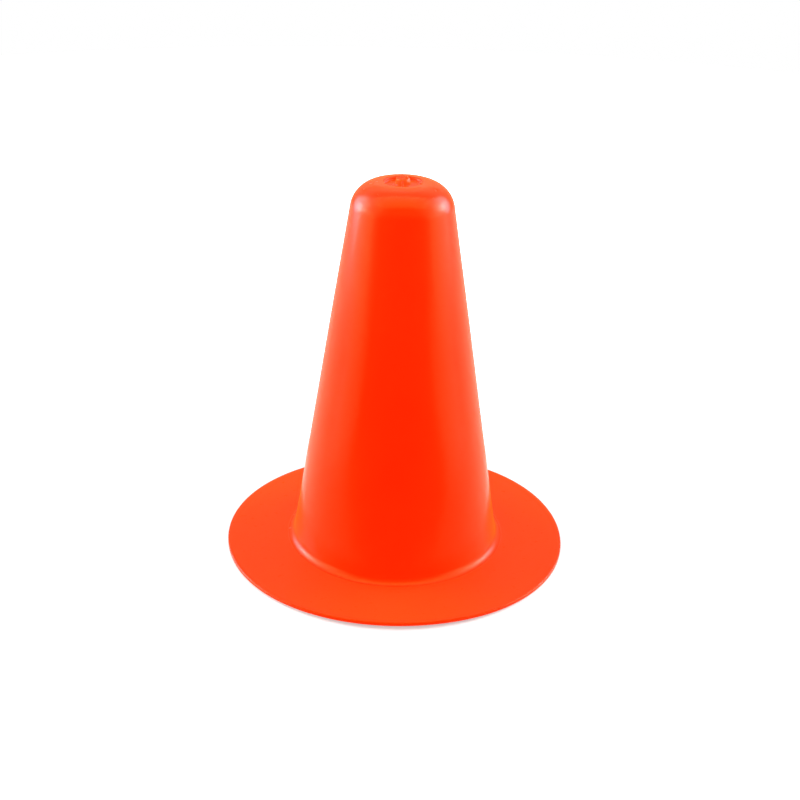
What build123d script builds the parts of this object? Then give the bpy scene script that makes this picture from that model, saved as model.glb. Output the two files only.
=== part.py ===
"""Sports marker cone: a hollow tapered body on a round flat brim, moulded in one go from soft plastic.

The real cone has no seams. It is divided here into the four zones that a person would name:
the brim with its foot fillet, the tapered wall, the rounded crown with its recess, and the gate
stub, which is the trimmed lump left where the plastic entered the mould. The zones meet face to
face on level seams.

Frame: millimetres, +Z up, origin on the ground at the cone's axis. The gate stub's web points to -Y.
"""

from build123d import *
import math
import os

# Overall sizes. The height is that of the recess's rim, which the gate stub stands above. The foot
# diameter is where the wall's line meets the top of the brim.
overall_height = 229.0
brim_diameter = 207.3
foot_diameter = 126.0

# Sheet thicknesses.
wall_thickness = 2.0
brim_thickness = 2.4
crown_thickness = 2.2

# The brim is a very flat cone: it rises from its rim to the foot of the wall, and stands on a
# narrow flat land under its rim.
brim_rise = 2.0
brim_land_width = 5.0

# Rounded corners between brim, wall and crown.
foot_fillet_radius = 5.0
shoulder_radius = 16.5

# Crown: a top that slopes gently down from a round recess to the shoulder. The shoulder's arc is
# centred under its crest. The land is the ring between recess and crest, and the groove is the
# narrow ring on the underside, around the boss that the recess makes there.
shoulder_crest_diameter = 26.8
crown_slope = 6  # degrees
crown_land_width = 2.9
crown_groove_width = 1.0
recess_depth = 2.0

# Gate stub: a stump that rises out of the recess, with a thin web and a broken tip.
stub_base_diameter = 8.4
stub_top_diameter = 7.8
stub_proud_height = 2.2
web_thickness = 1.2
web_drop = 0.8  # the web starts this far below the stump's top
tip_diameter = 2.4
tip_height = 0.6
tip_taper = 20  # degrees

# Radii and levels that follow from the sizes above.
brim_radius = brim_diameter / 2
foot_radius = foot_diameter / 2
crest_radius = shoulder_crest_diameter / 2
recess_radius = crest_radius - crown_land_width
boss_radius = crest_radius - crown_groove_width
stub_base_radius = stub_base_diameter / 2
stub_top_radius = stub_top_diameter / 2
land_radius = brim_radius - brim_land_width
foot_level = brim_thickness + brim_rise
foot_seam_level = foot_level + foot_fillet_radius
crown_gradient = math.tan(math.radians(crown_slope))
crown_steepness = math.cos(math.radians(crown_slope))
crest_drop = crown_land_width * crown_gradient
shoulder_seam_level = overall_height - crest_drop - shoulder_radius / crown_steepness
recess_floor_level = overall_height - recess_depth
boss_level = recess_floor_level - crown_thickness
stub_top_level = overall_height + stub_proud_height
web_top_level = stub_top_level - web_drop

# Small rounds that follow the sheet, land or stump that carries them.
rim_round_radius = brim_thickness / 3
mouth_round_radius = brim_thickness + foot_fillet_radius
inner_shoulder_radius = shoulder_radius - wall_thickness
recess_lip_radius = recess_depth / 2
recess_foot_radius = recess_depth / 4
groove_round_radius = crown_groove_width / 2
stub_round_radius = stub_base_radius - stub_top_radius

# The wall is the line from the foot corner that touches the shoulder's arc.
shoulder_run = foot_radius - crest_radius
shoulder_rise = shoulder_seam_level - foot_level
wall_angle = math.atan2(shoulder_run, shoulder_rise) - math.asin(
    shoulder_radius / math.hypot(shoulder_run, shoulder_rise)
)


def wall_radius(level):
    """Outer radius of the tapered wall at a level above the ground."""
    return foot_radius - (level - foot_level) * math.tan(wall_angle)


def bore_radius(level):
    """Inner radius of the tapered wall at a level above the ground."""
    return wall_radius(level) - wall_thickness / math.cos(wall_angle)


def crown_level(radius):
    """Level of the crown's sloping top at a distance from the axis."""
    return overall_height - (radius - recess_radius) * crown_gradient


def ceiling_level(radius):
    """Level of the crown's underside at a distance from the axis."""
    return crown_level(radius) - crown_thickness / crown_steepness


def corner_radius(side_radius, top_level):
    """Where a side of the wall, extended upwards, meets the top or the ceiling of the crown."""
    axis_gap = side_radius(top_level(0))
    return axis_gap / (1 - crown_gradient * math.tan(wall_angle))


# The corners that the shoulder rounds off, outside and inside.
outer_corner = corner_radius(wall_radius, crown_level)
inner_corner = corner_radius(bore_radius, ceiling_level)

# The brim stands on the land under its rim. It rises into the wall through the foot fillet.
with BuildPart() as base_brim:
    with BuildSketch(Plane.XZ):
        with BuildLine():
            FilletPolyline(
                (wall_radius(foot_seam_level), foot_seam_level),
                (foot_radius, foot_level),
                (brim_radius, brim_thickness),
                (brim_radius, 0),
                (land_radius, 0),
                (bore_radius(brim_rise), brim_rise),
                (bore_radius(foot_seam_level), foot_seam_level),
                radius=[
                    0,
                    foot_fillet_radius,
                    rim_round_radius,
                    rim_round_radius,
                    0,
                    mouth_round_radius,
                    0,
                ],
                close=True,
            )
        make_face()
    revolve(axis=Axis.Z)

# The wall is a plain tapered tube between the foot seam and the shoulder seam.
with BuildPart() as cone_wall:
    with BuildSketch(Plane.XZ):
        with BuildLine():
            Polyline(
                (wall_radius(foot_seam_level), foot_seam_level),
                (wall_radius(shoulder_seam_level), shoulder_seam_level),
                (bore_radius(shoulder_seam_level), shoulder_seam_level),
                (bore_radius(foot_seam_level), foot_seam_level),
                close=True,
            )
        make_face()
    revolve(axis=Axis.Z)

# The crown closes the top. Its outline runs out over the recess and the shoulder, then back
# along the underside, which follows the recess so that the sheet keeps its thickness.
with BuildPart() as crown:
    with BuildSketch(Plane.XZ):
        with BuildLine():
            FilletPolyline(
                (0, recess_floor_level),
                (recess_radius, recess_floor_level),
                (recess_radius, overall_height),
                (outer_corner, crown_level(outer_corner)),
                (wall_radius(shoulder_seam_level), shoulder_seam_level),
                (bore_radius(shoulder_seam_level), shoulder_seam_level),
                (inner_corner, ceiling_level(inner_corner)),
                (boss_radius, ceiling_level(boss_radius)),
                (boss_radius, boss_level),
                (0, boss_level),
                radius=[
                    0,
                    recess_foot_radius,
                    recess_lip_radius,
                    shoulder_radius,
                    0,
                    0,
                    inner_shoulder_radius,
                    groove_round_radius,
                    groove_round_radius,
                    0,
                ],
                close=True,
            )
        make_face()
    revolve(axis=Axis.Z)

# The gate stub stands on the recess floor.
with BuildPart() as gate_stub:
    with BuildSketch(Plane.XZ):
        with BuildLine():
            FilletPolyline(
                (0, recess_floor_level),
                (stub_base_radius, recess_floor_level),
                (stub_top_radius, stub_top_level),
                (0, stub_top_level),
                radius=[0, 0, stub_round_radius, 0],
                close=True,
            )
        make_face()
    revolve(axis=Axis.Z)
    # The web leans against the stump and dies out where the recess floor starts to curve up.
    with BuildSketch(Plane.YZ):
        with BuildLine():
            Polyline(
                (0, recess_floor_level),
                (0, web_top_level),
                (-stub_top_radius, web_top_level),
                (recess_foot_radius - recess_radius, recess_floor_level),
                close=True,
            )
        make_face()
    extrude(amount=web_thickness / 2, both=True)
    # The broken tip stands at the edge of the stump's flat top.
    with BuildSketch(Plane.XY.offset(stub_top_level)):
        with Locations((stub_top_radius - stub_round_radius - tip_diameter / 2, 0)):
            Circle(tip_diameter / 2)
    extrude(amount=tip_height, taper=tip_taper)

os.makedirs("parts", exist_ok=True)
for name, piece in (
    ("base_brim", base_brim),
    ("cone_wall", cone_wall),
    ("crown", crown),
    ("gate_stub", gate_stub),
):
    piece.part.label = name
    export_step(piece.part, f"parts/{name}.step")
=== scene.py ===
"""Sports marker cone: one soft orange moulding, shown in its four zones on a white studio floor.

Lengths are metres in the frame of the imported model: +Z up, origin on the ground at the cone's axis.
"""

import math

import bmesh
import bpy
from mathutils import Matrix, Vector, noise


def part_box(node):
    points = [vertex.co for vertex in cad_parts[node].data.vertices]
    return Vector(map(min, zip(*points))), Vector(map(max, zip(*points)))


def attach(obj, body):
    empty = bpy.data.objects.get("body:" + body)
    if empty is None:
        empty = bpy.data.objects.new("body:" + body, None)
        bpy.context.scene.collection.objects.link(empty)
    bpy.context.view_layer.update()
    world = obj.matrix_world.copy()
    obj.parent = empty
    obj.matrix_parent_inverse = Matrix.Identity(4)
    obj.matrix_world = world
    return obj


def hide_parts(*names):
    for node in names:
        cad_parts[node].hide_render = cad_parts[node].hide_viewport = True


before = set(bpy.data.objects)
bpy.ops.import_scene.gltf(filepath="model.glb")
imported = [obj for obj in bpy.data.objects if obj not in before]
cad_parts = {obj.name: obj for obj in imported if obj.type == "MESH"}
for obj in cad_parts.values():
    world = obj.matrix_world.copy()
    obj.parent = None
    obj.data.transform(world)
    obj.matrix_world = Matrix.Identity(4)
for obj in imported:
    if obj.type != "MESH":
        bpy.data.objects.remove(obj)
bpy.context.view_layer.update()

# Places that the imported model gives.
brim_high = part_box("base_brim")[1]
wall_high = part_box("cone_wall")[1]
crown_low, crown_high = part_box("crown")
stub_low, stub_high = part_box("gate_stub")
BRIM_RADIUS = brim_high[0]
FOOT_SEAM = brim_high[2]
SHOULDER_SEAM = crown_low[2]
CROWN_TOP = crown_high[2]
RECESS_FLOOR = stub_low[2]
WALL_SLOPE = (wall_high[0] - crown_high[0]) / (SHOULDER_SEAM - FOOT_SEAM)

# Sizes of the moulding.
WALL_THICKNESS = 0.0020
BRIM_THICKNESS = 0.0024
CROWN_THICKNESS = 0.0022
BRIM_RISE = 0.0020
BRIM_LAND_WIDTH = 0.0050
FOOT_FILLET = 0.0050
SHOULDER_ROUND = 0.0165
RIM_ROUND = 0.0008
CROWN_SLOPE = math.radians(6)
RECESS_RADIUS = 0.0105
RECESS_LIP_ROUND = 0.0010
RECESS_FOOT_ROUND = 0.0005
BOSS_RADIUS = 0.0124
GROOVE_ROUND = 0.0005

# The gate stub: a stump with a flared foot, a thin web and a torn tip. It goes a little way down
# into the recess floor.
STUB_BASE_RADIUS = 0.0042
STUB_TOP_RADIUS = 0.0039
STUB_ROUND = 0.0006
STUB_FLARE = 0.0005
STUB_ROOT = 0.0004
TIP_HEIGHT = 0.0006
TIP_RADIUS = 0.0012
TIP_SIDES = 24
STUB_TOP = stub_high[2] - TIP_HEIGHT
WEB_THICKNESS = 0.0012
WEB_DROP = 0.0008

# The flat that a knife pared on the stump: the way it faces, its distance from the axis at the
# stump's top, and how much further out it lies for each step down.
PARING_SIDE = Vector((0.88, -0.47, 0)).normalized()
PARING_TOP_REACH = 0.0034
PARING_SLOPE = 0.26

# The roughness of the stump, deepest at its torn top. The fractal has its increment, the ratio
# between the sizes of its octaves, and their number.
TEAR_DEPTH = 0.00025
TEAR_FALL = 4
TEAR_SIZE = 0.0014
TEAR_FRACTAL = (0.8, 2.0, 3)
TEAR_MIDDLE = 0.4
SKIN_DEPTH = 0.00004

# Levels that follow from the sizes. The lip is where the recess's side meets the sloping land. The
# finish of the brim's face fades out between the foot's level and BRIM_FACE_END.
LIP_LEVEL = CROWN_TOP + RECESS_LIP_ROUND * (1 / math.cos(CROWN_SLOPE) + math.tan(CROWN_SLOPE) - 1)
FOOT_LEVEL = BRIM_THICKNESS + BRIM_RISE
BRIM_FACE_END = FOOT_LEVEL + FOOT_FILLET / 4

# The brim of the photographed cone isn't quite flat: it lifts off the ground in three soft waves.
# Each has its number of crests and its cosine and sine amplitudes. The sheet also swells here and
# there, less than its full depth close to the axis.
BRIM_WAVES = ((1, 0.00017, 0.00001), (2, -0.00033, 0.00044), (3, -0.00024, 0.00054))
LIFT_SHAPE = 1.5
SWELL_DEPTH = 0.00012
SWELL_HEIGHT = 0.06
SWELL_AROUND = 2
SWELL_FULL_RADIUS = 0.02

# How finely the surfaces are divided, and how the stub's fused skin is softened. A point nearer the
# axis than ON_AXIS counts as on it.
AROUND = 288
RUN_STEP = 0.003
ARC_STEP = 0.0006
LEAST_ARC_STEPS = 4
ON_AXIS = RUN_STEP / AROUND
SHARP_ANGLE = math.radians(50)
STUB_VOXEL = 0.00012
SOFTEN_FACTOR = 0.5
SOFTEN_PASSES = 3

# The plastic's colour. It wavers between two near shades, and pales on the steep sides around the gate:
# fully where the normal's upward part is under STEEP_ENOUGH, and not at all past LEVEL_ENOUGH. That paling
# is partly the gate's pale blush and partly painted light, which lifts the shaded sides of the recess and
# stub.
PLASTIC_DEEP = (1.0, 0.013, 0.0001)
PLASTIC_PALE = (1.0, 0.018, 0.0002)
CLOUD_SCALE = 35
CLOUD_DETAIL = 3
# The paler colour near the gate: partly the gate's blush, partly painted light on the shaded steep sides.
GATE_BLUSH_AND_PAINTED_LIGHT = (1.0, 0.08, 0.012)
BLUSH_AND_LIGHT_REACH = 0.0108
BLUSH_AND_LIGHT_EDGE = 0.0008
LEVEL_ENOUGH = 0.95
STEEP_ENOUGH = 0.2

# Its gloss. The brim's face is duller than the rest, and it and the crown have small scuffs.
PLASTIC_IOR = 1.5
SPECULAR_LEVEL = 0.24
SPECULAR_TINT = (1.0, 0.6, 0.05)
ROUGHNESS_LOW = 0.16
ROUGHNESS_HIGH = 0.24
BRIM_DULLING = 0.3
BRIM_FLATNESS = 0.97
SCUFF_SCALE = 260
SCUFF_DETAIL = 4
SCUFF_START = 0.62
SCUFF_FULL = 0.72
SCUFF_DULLING = 0.16
SHEEN_WEIGHT = 0.36
SHEEN_ROUGHNESS = 0.5
SHEEN_TINT = (1.0, 0.45, 0.02)

# Its relief: lines that the mould dragged down the wall, and a fine grain.
DRAG_SCALE = 420
DRAG_STRETCH = 0.03
DRAG_DEPTH = 0.000008
GRAIN_SCALE = 1400
GRAIN_DEPTH = 0.0000125
RELIEF_DETAIL = 2

# The studio's round white floor and white world. The floor's own glow grows from NEAR to FAR between
# the distances START and END, and in front and behind the camera sees MORE of it past EDGE.
FLOOR_RADIUS = 1.5
FLOOR_CORNERS = 96
FLOOR_ALBEDO = 0.6
FLOOR_GLOW_START = 0.15
FLOOR_GLOW_END = 0.45
FLOOR_GLOW_NEAR = 0.35
FLOOR_GLOW_FAR = 0.9
FLOOR_GLOW_EDGE = 0.125
FLOOR_GLOW_MORE = 0.6
WORLD_DIFFUSE = 0.3
STUDIO_ROUGHNESS = 0.9

# Cards that stand around the object. Those behind it are dark, with a paler band between them.
CARD_REACH = 1.3
CARD_FRONT = -1.2
SIDE_CARD_FRONT = -0.75
SIDE_CARD_BACK = 0.5
SIDE_CARD_TOP = 0.6
FRONT_CARD_TOP = 0.7
BAND_LOW = 0.66
BAND_HIGH = 0.82
BACK_CARD_TOP = 1.1

# Cards that lie just above the floor: before and behind the object, and close round its brim.
CARD_LIFT = 0.002
LYING_CARD_EDGE = 0.15
LYING_CARD_GAP = 0.3
NEAR_CARD_EDGE = 0.108
BEHIND_CARD_SIDE = 1.2
BEHIND_CARD_BACK = 1.28

# How pale the cards are, and how much the lit ones glow.
DARK_ALBEDO = 0.2
GREY_ALBEDO = 0.3
DIM_ALBEDO = 0.48
LIT_ALBEDO = 0.8
LEFT_CARD_GLOW = 2.8
RIGHT_CARD_GLOW = 2.3

# The lamps that light the object: one behind it on each side, one overhead and a fill from the
# front. An area lamp of level 1 looks white, and has WATTS_PER_AREA for each square metre.
LAMP_AIM = (0, 0, 0.12)
WATTS_PER_AREA = 4
SIDE_LAMP_SIZE = 0.9
LEFT_LAMP_PLACE = (-1.16, 0.47, 0.66)
LEFT_LAMP_LEVEL = 4.6
RIGHT_LAMP_PLACE = (1.16, 0.5, 0.66)
RIGHT_LAMP_LEVEL = 4.0
TOP_LAMP_PLACE = (0, -0.15, 1.4)
TOP_LAMP_SIZE = 1.1
TOP_LAMP_LEVEL = 2.2
FILL_PLACE = (0, -0.8, 0.17)
FILL_SPREAD = math.radians(60)
FILL_LEVEL = 0.75

# The glows that only reflections show. Each side has bluish discs of (diameter, level) near its
# lamp, and more at two places further forward. The ceiling's glow is a wide white strip.
GLOW_COLOR = (0.6, 0.6, 1.0)
LEFT_GLOW_PLACE = (-1.16, 0.40, 0.42)
LEFT_GLOW_SHARE = 1.0
RIGHT_GLOW_PLACE = (1.18, 0.34, 0.62)
RIGHT_GLOW_SHARE = 1.1
GLOW_DISCS = ((0.40, 18), (0.8, 6), (1.2, 4.4))
SIDE_GLOW_PLACE = (1.15, -0.05, 0.62)
SIDE_GLOW_DISCS = ((0.8, 4.2), (1.7, 2.6))
FRONT_GLOW_PLACE = (1.10, -0.55, 0.95)
FRONT_GLOW_DISCS = ((1.0, 1.2), (1.5, 0.9))
CEILING_PLACE = (0, -0.22, 1.4)
CEILING_SIZE = (2.4, 1.15)
CEILING_LEVEL = 2.6

# The camera of the photograph, found from the cone's outline.
CAMERA_PLACE = (0.0, -0.77343, 0.45837)
CAMERA_DOWN = math.radians(25.242)
CAMERA_RIGHT = math.radians(0.098)
CAMERA_ROLL = math.radians(1.408)
CAMERA_LENS = 64.185
CAMERA_CLIP = 0.01
SENSOR_WIDTH = 36


def wall_radius(level):
    """Outer radius of the tapered wall at a level above the ground."""
    return wall_high[0] - (level - FOOT_SEAM) * WALL_SLOPE


def bore_radius(level):
    """Inner radius of the tapered wall at a level above the ground."""
    return wall_radius(level) - WALL_THICKNESS * math.hypot(1, WALL_SLOPE)


def crown_level(radius):
    """Level of the crown's sloping top at a distance from the axis."""
    return LIP_LEVEL - (radius - RECESS_RADIUS) * math.tan(CROWN_SLOPE)


def ceiling_level(radius):
    """Level of the crown's underside at a distance from the axis."""
    return crown_level(radius) - CROWN_THICKNESS / math.cos(CROWN_SLOPE)


def shoulder_corner(side_radius, top_level):
    """Where a side of the wall, extended upwards, meets the top or the ceiling of the crown."""
    radius = side_radius(top_level(0)) / (1 - math.tan(CROWN_SLOPE) * WALL_SLOPE)
    return radius, top_level(radius)


def rounded(corners):
    """Points along a closed outline of (radius, level, rounding) corners, with arcs at the rounded ones."""
    points = []
    count = len(corners)
    for i, (radius, level, rounding) in enumerate(corners):
        corner = Vector((radius, level))
        if not rounding:
            points.append(corner)
            continue
        back = (Vector(corners[i - 1][:2]) - corner).normalized()
        ahead = (Vector(corners[(i + 1) % count][:2]) - corner).normalized()
        half = back.angle(ahead) / 2
        centre = corner + (back + ahead).normalized() * rounding / math.sin(half)
        start = corner + back * rounding / math.tan(half) - centre
        sweep = math.copysign(math.pi - 2 * half, ahead.cross(back))
        steps = max(LEAST_ARC_STEPS, math.ceil(rounding * abs(sweep) / ARC_STEP))
        points += [centre + Matrix.Rotation(sweep * step / steps, 2) @ start for step in range(steps + 1)]
    filled = []
    for point, following in zip(points, points[1:] + points[:1]):
        steps = max(1, math.ceil((following - point).length / RUN_STEP))
        filled += [point.lerp(following, step / steps) for step in range(steps)]
    return filled


def turn(work, corners):
    """Adds to the working mesh a closed shape, turned about the axis from a closed outline."""
    rings = []
    for radius, level in rounded(corners):
        if radius < ON_AXIS:
            rings.append([work.verts.new((0, 0, level))] * AROUND)
            continue
        angles = [math.tau * i / AROUND for i in range(AROUND)]
        rings.append([work.verts.new((radius * math.cos(a), radius * math.sin(a), level)) for a in angles])
    for ring, following in zip(rings, rings[1:] + rings[:1]):
        for i in range(AROUND):
            j = (i + 1) % AROUND
            corner_verts = list(dict.fromkeys((ring[i], ring[j], following[j], following[i])))
            if len(corner_verts) > 2:
                work.faces.new(corner_verts)


def turned(name, corners):
    """A piece turned about the axis from a closed outline."""
    work = bmesh.new()
    turn(work, corners)
    return finished(name, work)


def finished(name, work):
    """Turns the working mesh into a smooth-shaded piece at the origin."""
    bmesh.ops.recalc_face_normals(work, faces=work.faces)
    mesh = bpy.data.meshes.new(name)
    work.to_mesh(mesh)
    work.free()
    mesh.shade_smooth()
    mesh.set_sharp_from_angle(angle=SHARP_ANGLE)
    piece = bpy.data.objects.new(name, mesh)
    bpy.context.scene.collection.objects.link(piece)
    return piece


def wave(angle):
    """How far the brim's rim lies off the level at an angle about the axis."""
    return sum(c * math.cos(n * angle) + s * math.sin(n * angle) for n, c, s in BRIM_WAVES)


LOWEST_WAVE = min(wave(math.tau * i / AROUND) for i in range(AROUND))
LIFT_START = wall_radius(FOOT_LEVEL) + FOOT_FILLET


def as_moulded(place):
    """Where a point of the true turned shape lies on the slightly uneven moulding."""
    radius = math.hypot(place.x, place.y)
    if radius < ON_AXIS:
        return place
    angle = math.atan2(place.y, place.x)
    share = min(max((radius - LIFT_START) / (BRIM_RADIUS - LIFT_START), 0), 1)
    lift = (wave(angle) - LOWEST_WAVE) * share**LIFT_SHAPE
    x, y = SWELL_AROUND * math.cos(angle), SWELL_AROUND * math.sin(angle)
    ripple = noise.noise(Vector((x, y, place.z / SWELL_HEIGHT)))
    swell = SWELL_DEPTH * ripple * min(radius / SWELL_FULL_RADIUS, 1)
    grow = 1 + swell / radius
    return Vector((place.x * grow, place.y * grow, place.z + lift))


def settled(piece):
    """The piece with its small unevenness worked in."""
    for vertex in piece.data.vertices:
        vertex.co = as_moulded(vertex.co)
    return piece


def make_brim():
    """The brim on its narrow flat land, with the fillet that leads up into the wall."""
    corners = [
        (wall_radius(FOOT_SEAM), FOOT_SEAM, 0),
        (wall_radius(FOOT_LEVEL), FOOT_LEVEL, FOOT_FILLET),
        (BRIM_RADIUS, BRIM_THICKNESS, RIM_ROUND),
        (BRIM_RADIUS, 0, RIM_ROUND),
        (BRIM_RADIUS - BRIM_LAND_WIDTH, 0, 0),
        (bore_radius(BRIM_RISE), BRIM_RISE, BRIM_THICKNESS + FOOT_FILLET),
        (bore_radius(FOOT_SEAM), FOOT_SEAM, 0),
    ]
    return turned("brim_shell", corners)


def make_wall():
    """The hollow tapered wall."""
    corners = [
        (wall_radius(FOOT_SEAM), FOOT_SEAM, 0),
        (wall_radius(SHOULDER_SEAM), SHOULDER_SEAM, 0),
        (bore_radius(SHOULDER_SEAM), SHOULDER_SEAM, 0),
        (bore_radius(FOOT_SEAM), FOOT_SEAM, 0),
    ]
    return turned("wall_shell", corners)


def make_crown():
    """The rounded shoulder and the sloping top with its round recess, in an even sheet."""
    boss_level = RECESS_FLOOR - CROWN_THICKNESS
    corners = [
        (0, RECESS_FLOOR, 0),
        (RECESS_RADIUS, RECESS_FLOOR, RECESS_FOOT_ROUND),
        (RECESS_RADIUS, LIP_LEVEL, RECESS_LIP_ROUND),
        (*shoulder_corner(wall_radius, crown_level), SHOULDER_ROUND),
        (wall_radius(SHOULDER_SEAM), SHOULDER_SEAM, 0),
        (bore_radius(SHOULDER_SEAM), SHOULDER_SEAM, 0),
        (*shoulder_corner(bore_radius, ceiling_level), SHOULDER_ROUND - WALL_THICKNESS),
        (BOSS_RADIUS, ceiling_level(BOSS_RADIUS), GROOVE_ROUND),
        (BOSS_RADIUS, boss_level, GROOVE_ROUND),
        (0, boss_level, 0),
    ]
    return turned("crown_shell", corners)


def add_stump(work):
    """The stump, which flares a little where it meets the recess floor."""
    corners = [
        (0, RECESS_FLOOR - STUB_ROOT, 0),
        (STUB_BASE_RADIUS + STUB_FLARE, RECESS_FLOOR - STUB_ROOT, 0),
        (STUB_BASE_RADIUS + STUB_FLARE, RECESS_FLOOR, 0),
        (STUB_BASE_RADIUS, RECESS_FLOOR + STUB_FLARE, STUB_FLARE / 2),
        (STUB_TOP_RADIUS, STUB_TOP, STUB_ROUND),
        (0, STUB_TOP, 0),
    ]
    turn(work, corners)


def add_web(work):
    """The thin web, from the stump's top down to the edge of the recess floor on the -Y side."""
    top = STUB_TOP - WEB_DROP
    side = [
        (0, RECESS_FLOOR - STUB_ROOT),
        (0, top),
        (-STUB_TOP_RADIUS, top),
        (RECESS_FOOT_ROUND - RECESS_RADIUS, RECESS_FLOOR),
        (RECESS_FOOT_ROUND - RECESS_RADIUS, RECESS_FLOOR - STUB_ROOT),
    ]
    faces = []
    for x in (-WEB_THICKNESS / 2, WEB_THICKNESS / 2):
        faces.append([work.verts.new((x, y, z)) for y, z in side])
    for face in faces:
        work.faces.new(face)
    for i in range(len(side)):
        j = (i + 1) % len(side)
        work.faces.new((faces[0][i], faces[0][j], faces[1][j], faces[1][i]))


def add_tip(work):
    """The point where the plastic tore off, at the +X edge of the stump's top."""
    place = Vector((STUB_TOP_RADIUS - STUB_ROUND - TIP_RADIUS, 0, STUB_TOP))
    bmesh.ops.create_cone(
        work,
        cap_ends=True,
        segments=TIP_SIDES,
        radius1=TIP_RADIUS,
        radius2=TIP_RADIUS / 2,
        depth=TIP_HEIGHT + STUB_ROOT,
        matrix=Matrix.Translation(place + Vector((0, 0, (TIP_HEIGHT - STUB_ROOT) / 2))),
    )


def pared(place):
    """Where a point of the stump lies once a knife has pared a flat on its front right side."""
    reach = PARING_TOP_REACH + (STUB_TOP - place.z) * PARING_SLOPE
    outward = place.dot(PARING_SIDE) - reach
    return place - PARING_SIDE * max(outward, 0)


def torn(place):
    """Where a point of the stump lies on its rough, broken surface, which keeps to the stub's height."""
    height = (place.z - RECESS_FLOOR) / (STUB_TOP - RECESS_FLOOR)
    depth = TEAR_DEPTH * min(max(height, 0), 1) ** TEAR_FALL + SKIN_DEPTH
    tear = noise.fractal(place / TEAR_SIZE, *TEAR_FRACTAL)
    level = place.z + depth * (tear - TEAR_MIDDLE)
    return Vector((place.x, place.y, min(level, stub_high[2])))


def make_stub():
    """The stump with its web and torn tip, fused into one skin."""
    work = bmesh.new()
    for add in (add_stump, add_web, add_tip):
        add(work)
    piece = finished("gate_stump", work)
    remesh = piece.modifiers.new("fuse", "REMESH")
    remesh.mode = "VOXEL"
    remesh.voxel_size = STUB_VOXEL
    smooth = piece.modifiers.new("soften", "SMOOTH")
    smooth.factor = SOFTEN_FACTOR
    smooth.iterations = SOFTEN_PASSES
    evaluated = piece.evaluated_get(bpy.context.evaluated_depsgraph_get())
    mesh = bpy.data.meshes.new_from_object(evaluated)
    piece.modifiers.clear()
    piece.data = mesh
    for vertex in mesh.vertices:
        vertex.co = torn(pared(vertex.co))
    mesh.shade_smooth()
    return piece


class Nodes:
    """Short calls for building a node tree."""

    def __init__(self, tree):
        self.tree = tree

    def add(self, kind, **settings):
        node = self.tree.nodes.new(kind)
        for key, value in settings.items():
            setattr(node, key, value)
        return node

    def link(self, source, target):
        self.tree.links.new(source, target)

    def noise(self, vector, scale, detail):
        """Soft random values between 0 and 1."""
        node = self.add("ShaderNodeTexNoise")
        node.inputs["Scale"].default_value = scale
        node.inputs["Detail"].default_value = detail
        self.link(vector, node.inputs["Vector"])
        return node.outputs["Fac"]

    def ranged(self, value, low, high, to_low=0.0, to_high=1.0):
        """The value, with low to high stretched to to_low to to_high and held at both ends."""
        node = self.add("ShaderNodeMapRange")
        for key, limit in (("From Min", low), ("From Max", high), ("To Min", to_low), ("To Max", to_high)):
            node.inputs[key].default_value = limit
        self.link(value, node.inputs["Value"])
        return node.outputs["Result"]

    def combined(self, operation, first, second):
        """Two values joined by a sum, product, maximum or the like."""
        node = self.add("ShaderNodeMath", operation=operation)
        self.link(first, node.inputs[0])
        self.link(second, node.inputs[1])
        return node.outputs[0]

    def mixed(self, factor, first, second):
        """A colour between two, each given as a socket or a fixed colour."""
        node = self.add("ShaderNodeMix", data_type="RGBA")
        self.link(factor, node.inputs[0])
        for source, target in ((first, node.inputs[6]), (second, node.inputs[7])):
            if isinstance(source, tuple):
                target.default_value = (*source, 1)
            else:
                self.link(source, target)
        return node.outputs[2]


def split(nodes, vector):
    """The X, Y and Z of a vector."""
    node = nodes.add("ShaderNodeSeparateXYZ")
    nodes.link(vector, node.inputs[0])
    return node.outputs


def blush_and_light_near_gate(nodes, place, upward):
    """A factor that is 1 on the steep, shaded sides of the recess and the stub, and fades out past them: the
    gate's blush and painted light.
    """
    from_gate = nodes.add("ShaderNodeVectorMath", operation="DISTANCE")
    from_gate.inputs[1].default_value = (0, 0, LIP_LEVEL)
    nodes.link(place, from_gate.inputs[0])
    near = nodes.ranged(from_gate.outputs["Value"], BLUSH_AND_LIGHT_REACH, BLUSH_AND_LIGHT_REACH - BLUSH_AND_LIGHT_EDGE)
    steep = nodes.ranged(upward, LEVEL_ENOUGH, STEEP_ENOUGH)
    return nodes.combined("MULTIPLY", near, steep)


def rubbed(nodes, place, height, upward):
    """Added roughness: the brim's face is duller all over, and it and the crown have small scuffs."""
    low = nodes.ranged(height, BRIM_FACE_END, FOOT_LEVEL)
    flat = nodes.ranged(upward, BRIM_FLATNESS, 1)
    dull = nodes.ranged(nodes.combined("MULTIPLY", low, flat), 0, 1, 0, BRIM_DULLING)
    patches = nodes.noise(place, SCUFF_SCALE, SCUFF_DETAIL)
    scuffs = nodes.ranged(patches, SCUFF_START, SCUFF_FULL, 0, SCUFF_DULLING)
    worn = nodes.ranged(height, SHOULDER_SEAM, CROWN_TOP)
    scuffed = nodes.combined("MULTIPLY", scuffs, nodes.combined("MAXIMUM", low, worn))
    return nodes.combined("ADD", dull, scuffed)


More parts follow.
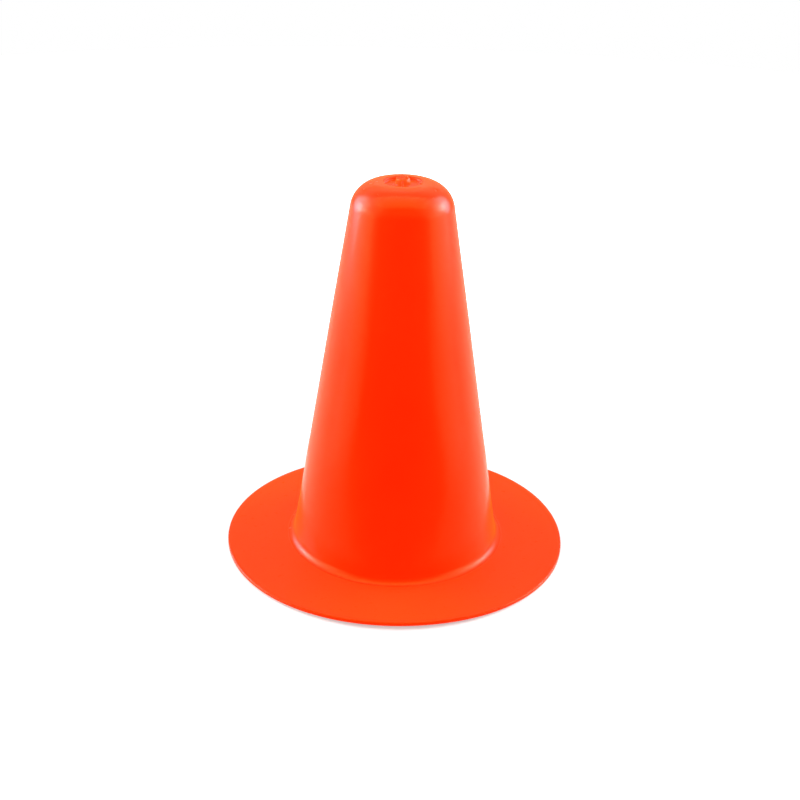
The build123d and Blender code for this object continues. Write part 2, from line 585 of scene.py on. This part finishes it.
def moulded_relief(nodes, place):
    """A fine grain all over, and faint upright lines that the mould dragged down the wall."""
    stretch = nodes.add("ShaderNodeVectorMath", operation="MULTIPLY")
    stretch.inputs[1].default_value = (1, 1, DRAG_STRETCH)
    nodes.link(place, stretch.inputs[0])
    lines = nodes.add("ShaderNodeBump")
    lines.inputs["Strength"].default_value = 1
    lines.inputs["Distance"].default_value = DRAG_DEPTH
    nodes.link(nodes.noise(stretch.outputs["Vector"], DRAG_SCALE, RELIEF_DETAIL), lines.inputs["Height"])
    grain = nodes.add("ShaderNodeBump")
    grain.inputs["Strength"].default_value = 1
    grain.inputs["Distance"].default_value = GRAIN_DEPTH
    nodes.link(nodes.noise(place, GRAIN_SCALE, RELIEF_DETAIL), grain.inputs["Height"])
    nodes.link(lines.outputs["Normal"], grain.inputs["Normal"])
    return grain.outputs["Normal"]


def plastic():
    """Semi-gloss polyethylene in a vivid orange-red."""
    material = bpy.data.materials.new("orange_plastic")
    material.use_nodes = True
    nodes = Nodes(material.node_tree)
    shader = material.node_tree.nodes["Principled BSDF"]
    place = nodes.add("ShaderNodeTexCoord").outputs["Object"]
    height = split(nodes, place)["Z"]
    upward = split(nodes, nodes.add("ShaderNodeNewGeometry").outputs["Normal"])["Z"]

    cloud = nodes.noise(place, CLOUD_SCALE, CLOUD_DETAIL)
    tone = nodes.mixed(cloud, PLASTIC_DEEP, PLASTIC_PALE)
    # Painted light: the shaded steep sides near the gate are painted paler, together with the gate's blush.
    blushed_and_lit = nodes.mixed(blush_and_light_near_gate(nodes, place, upward), tone, GATE_BLUSH_AND_PAINTED_LIGHT)
    nodes.link(blushed_and_lit, shader.inputs["Base Color"])
    gloss = nodes.ranged(cloud, 0, 1, ROUGHNESS_LOW, ROUGHNESS_HIGH)
    roughness = nodes.combined("ADD", gloss, rubbed(nodes, place, height, upward))
    nodes.link(roughness, shader.inputs["Roughness"])
    nodes.link(moulded_relief(nodes, place), shader.inputs["Normal"])

    shader.inputs["IOR"].default_value = PLASTIC_IOR
    shader.inputs["Specular IOR Level"].default_value = SPECULAR_LEVEL
    shader.inputs["Specular Tint"].default_value = (*SPECULAR_TINT, 1)
    shader.inputs["Sheen Weight"].default_value = SHEEN_WEIGHT
    shader.inputs["Sheen Roughness"].default_value = SHEEN_ROUGHNESS
    shader.inputs["Sheen Tint"].default_value = (*SHEEN_TINT, 1)
    return material


def plain(name, albedo, glow=0.0):
    """A flat grey for the studio, which may glow white."""
    material = bpy.data.materials.new(name)
    material.use_nodes = True
    shader = material.node_tree.nodes["Principled BSDF"]
    shader.inputs["Base Color"].default_value = (albedo, albedo, albedo, 1)
    shader.inputs["Roughness"].default_value = STUDIO_ROUGHNESS
    shader.inputs["Specular IOR Level"].default_value = 0.0
    shader.inputs["Emission Color"].default_value = (1, 1, 1, 1)
    shader.inputs["Emission Strength"].default_value = glow
    material.cycles.emission_sampling = "NONE"
    return material


def seen_directly(nodes):
    """A factor that is 1 for rays from the camera, or off or through a shiny surface, and 0 for others."""
    path = nodes.add("ShaderNodeLightPath")
    shiny = nodes.combined("MAXIMUM", path.outputs["Is Glossy Ray"], path.outputs["Is Transmission Ray"])
    return nodes.combined("MAXIMUM", path.outputs["Is Camera Ray"], shiny)


def sheet_object(name, corners, material):
    """A flat piece of the studio with the given corners."""
    mesh = bpy.data.meshes.new(name)
    mesh.from_pydata(corners, [], [tuple(range(len(corners)))])
    mesh.materials.append(material)
    item = bpy.data.objects.new(name, mesh)
    bpy.context.scene.collection.objects.link(item)
    return item


def lamp_object(name, kind, place, target):
    """A lamp that points from its place to the target."""
    lamp = bpy.data.lights.new(name, kind)
    item = bpy.data.objects.new(name, lamp)
    item.location = place
    item.rotation_euler = (Vector(target) - Vector(place)).to_track_quat("-Z", "Y").to_euler()
    bpy.context.scene.collection.objects.link(item)
    return item


def area_lamp(name, place, level, size):
    """A disc lamp of one diameter or a rectangle of two sides; level is its radiance, and 1 looks white."""
    item = lamp_object(name, "AREA", place, LAMP_AIM)
    if isinstance(size, tuple):
        item.data.shape = "RECTANGLE"
        item.data.size, item.data.size_y = size
        area = size[0] * size[1]
    else:
        item.data.shape = "DISK"
        item.data.size = size
        area = math.pi * size**2 / 4
    item.data.energy = WATTS_PER_AREA * level * area
    return item


def glow(name, place, level, size, color=(1, 1, 1)):
    """A lamp that shows in reflections only."""
    item = area_lamp(name, place, level, size)
    item.data.color = color
    item.visible_diffuse = False
    item.visible_camera = False


def fill_light(name, place, spread, level):
    """A far soft light that shows in no reflection; level 1 renders a white card that faces it as white."""
    item = lamp_object(name, "SUN", place, (0, 0, 0))
    item.data.angle = spread
    item.data.energy = level * math.pi
    item.visible_glossy = False


def make_floor():
    """A white floor. Camera and mirror rays see it fade to the white of the background further out.

    The camera sees it glow more in front and behind, where the lying cards keep the studio's light off it.
    """
    material = plain("floor_white", FLOOR_ALBEDO)
    nodes = Nodes(material.node_tree)
    shader = material.node_tree.nodes["Principled BSDF"]
    place = nodes.add("ShaderNodeTexCoord").outputs["Object"]
    distance = nodes.add("ShaderNodeVectorMath", operation="LENGTH")
    nodes.link(place, distance.inputs[0])
    fade = nodes.ranged(
        distance.outputs["Value"], FLOOR_GLOW_START, FLOOR_GLOW_END, FLOOR_GLOW_NEAR, FLOOR_GLOW_FAR
    )
    along = nodes.add("ShaderNodeMath", operation="ABSOLUTE")
    nodes.link(split(nodes, place)["Y"], along.inputs[0])
    more = nodes.ranged(along.outputs[0], FLOOR_GLOW_EDGE, LYING_CARD_EDGE, 0, FLOOR_GLOW_MORE)
    camera = nodes.add("ShaderNodeLightPath").outputs["Is Camera Ray"]
    faded = nodes.combined("MULTIPLY", seen_directly(nodes), fade)
    extra = nodes.combined("MULTIPLY", camera, more)
    nodes.link(nodes.combined("ADD", faded, extra), shader.inputs["Emission Strength"])
    angles = [math.tau * i / FLOOR_CORNERS for i in range(FLOOR_CORNERS)]
    corners = [(FLOOR_RADIUS * math.cos(a), FLOOR_RADIUS * math.sin(a), 0) for a in angles]
    sheet_object("floor", corners, material)


def standing_card(name, start, end, height, material, foot=0):
    """An upright card between two places, from its foot up to a height."""
    (x0, y0), (x1, y1) = start, end
    return sheet_object(name, [(x0, y0, foot), (x1, y1, foot), (x1, y1, height), (x0, y0, height)], material)


def lying_card(name, outline, material):
    """A card that lies just above the floor."""
    return sheet_object(name, [(x, y, CARD_LIFT) for x, y in outline], material)


def rectangle(left, front, right, back):
    """The corners of a rectangle seen from above, given its four edges."""
    return [(left, front), (right, front), (right, back), (left, back)]


def make_cards():
    """Cards that only the object's own shading sees: a studio's unlit side in front, lit walls beside it.

    The near cards lie close round the brim and show in reflections only.
    """
    black = plain("card_black", 0.0)
    dark = plain("card_dark", DARK_ALBEDO)
    grey = plain("card_grey", GREY_ALBEDO)
    dim = plain("card_dim", DIM_ALBEDO)
    lit_left = plain("card_lit_left", LIT_ALBEDO, LEFT_CARD_GLOW)
    lit_right = plain("card_lit_right", LIT_ALBEDO, RIGHT_CARD_GLOW)
    side = CARD_REACH
    front = CARD_FRONT
    start = SIDE_CARD_FRONT
    end = SIDE_CARD_BACK
    edge = LYING_CARD_EDGE
    gap = LYING_CARD_GAP
    near = NEAR_CARD_EDGE
    wide = BEHIND_CARD_SIDE
    low = [(-side, front), (side, front), (gap, -edge), (-gap, -edge)]
    behind = [(-wide, 0), (-gap, 0), (-gap, edge), (gap, edge), (gap, 0), (wide, 0)]
    behind += [(wide, BEHIND_CARD_BACK), (-wide, BEHIND_CARD_BACK)]
    cards = [
        standing_card("card_left", (-side, start), (-side, end), SIDE_CARD_TOP, lit_left),
        standing_card("card_right", (side, start), (side, end), SIDE_CARD_TOP, lit_right),
        standing_card("card_high", (-side, front), (side, front), FRONT_CARD_TOP, grey),
        standing_card("card_back", (-side, side), (side, side), BAND_LOW, dark),
        standing_card("card_band", (-side, side), (side, side), BAND_HIGH, dim, foot=BAND_LOW),
        standing_card("card_top", (-side, side), (side, side), BACK_CARD_TOP, dark, foot=BAND_HIGH),
        lying_card("card_low", low, black),
        lying_card("card_behind", behind, dim),
    ]
    near_cards = [
        lying_card("card_near_left", rectangle(-gap, -edge, -near, edge), dim),
        lying_card("card_near_right", rectangle(near, -edge, gap, edge), dim),
        lying_card("card_near_back", rectangle(-near, near, near, edge), dim),
        lying_card("card_near_front", rectangle(-near, -edge, near, -near), black),
    ]
    for card in near_cards:
        card.visible_diffuse = False
    for card in cards + near_cards:
        card.visible_camera = False
        card.visible_shadow = False
        card.visible_transmission = False


def make_world():
    """A white world that the camera and reflections see, and a dimmer one that lights the object."""
    world = bpy.data.worlds.new("studio")
    bpy.context.scene.world = world
    world.use_nodes = True
    world.cycles.sampling_method = "NONE"
    nodes = Nodes(world.node_tree)
    back = world.node_tree.nodes["Background"]
    back.inputs["Color"].default_value = (1, 1, 1, 1)
    nodes.link(nodes.ranged(seen_directly(nodes), 0, 1, WORLD_DIFFUSE, 1.0), back.inputs["Strength"])


def make_lamps():
    """Soft square lamps and a weak fill, none of which shows in reflections."""
    for name, place, level, size in (
        ("left_lamp", LEFT_LAMP_PLACE, LEFT_LAMP_LEVEL, SIDE_LAMP_SIZE),
        ("right_lamp", RIGHT_LAMP_PLACE, RIGHT_LAMP_LEVEL, SIDE_LAMP_SIZE),
        ("top_lamp", TOP_LAMP_PLACE, TOP_LAMP_LEVEL, TOP_LAMP_SIZE),
    ):
        area_lamp(name, place, level, (size, size)).visible_glossy = False
    fill_light("front_fill", FILL_PLACE, FILL_SPREAD, FILL_LEVEL)


def make_glows():
    """The graded glow around each side lamp and the lit ceiling, as the glossy plastic mirrors them."""
    groups = [
        ("left_glow", LEFT_GLOW_PLACE, LEFT_GLOW_SHARE, GLOW_DISCS),
        ("right_glow", RIGHT_GLOW_PLACE, RIGHT_GLOW_SHARE, GLOW_DISCS),
    ]
    for kind, (x, y, z), discs in (
        ("side_glow", SIDE_GLOW_PLACE, SIDE_GLOW_DISCS),
        ("front_glow", FRONT_GLOW_PLACE, FRONT_GLOW_DISCS),
    ):
        groups += [(f"{kind}_left", (-x, y, z), 1.0, discs), (f"{kind}_right", (x, y, z), 1.0, discs)]
    for name, place, share, discs in groups:
        for diameter, level in discs:
            glow(name, place, level * share, diameter, GLOW_COLOR)
    glow("ceiling_glow", CEILING_PLACE, CEILING_LEVEL, CEILING_SIZE)


def place_camera():
    """The photograph's camera."""
    data = bpy.data.cameras.new("camera")
    data.sensor_width = SENSOR_WIDTH
    data.lens = CAMERA_LENS
    data.clip_start = CAMERA_CLIP
    item = bpy.data.objects.new("camera", data)
    heading = Matrix.Rotation(-CAMERA_RIGHT, 4, "Z")
    pitch = Matrix.Rotation(math.pi / 2 - CAMERA_DOWN, 4, "X")
    roll = Matrix.Rotation(CAMERA_ROLL, 4, "Z")
    item.matrix_world = Matrix.Translation(CAMERA_PLACE) @ heading @ pitch @ roll
    bpy.context.scene.collection.objects.link(item)
    bpy.context.scene.camera = item


def make_cone():
    """The four zones of the moulding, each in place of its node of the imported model."""
    material = plastic()
    shells = {
        "base_brim": settled(make_brim()),
        "cone_wall": settled(make_wall()),
        "crown": settled(make_crown()),
        "gate_stub": make_stub(),
    }
    for node, piece in shells.items():
        piece.data.materials.append(material)
        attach(piece, "root")
        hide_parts(node)


make_cone()
make_floor()
make_cards()
make_world()
make_lamps()
make_glows()
place_camera()
bpy.context.scene.view_settings.view_transform = "Standard"
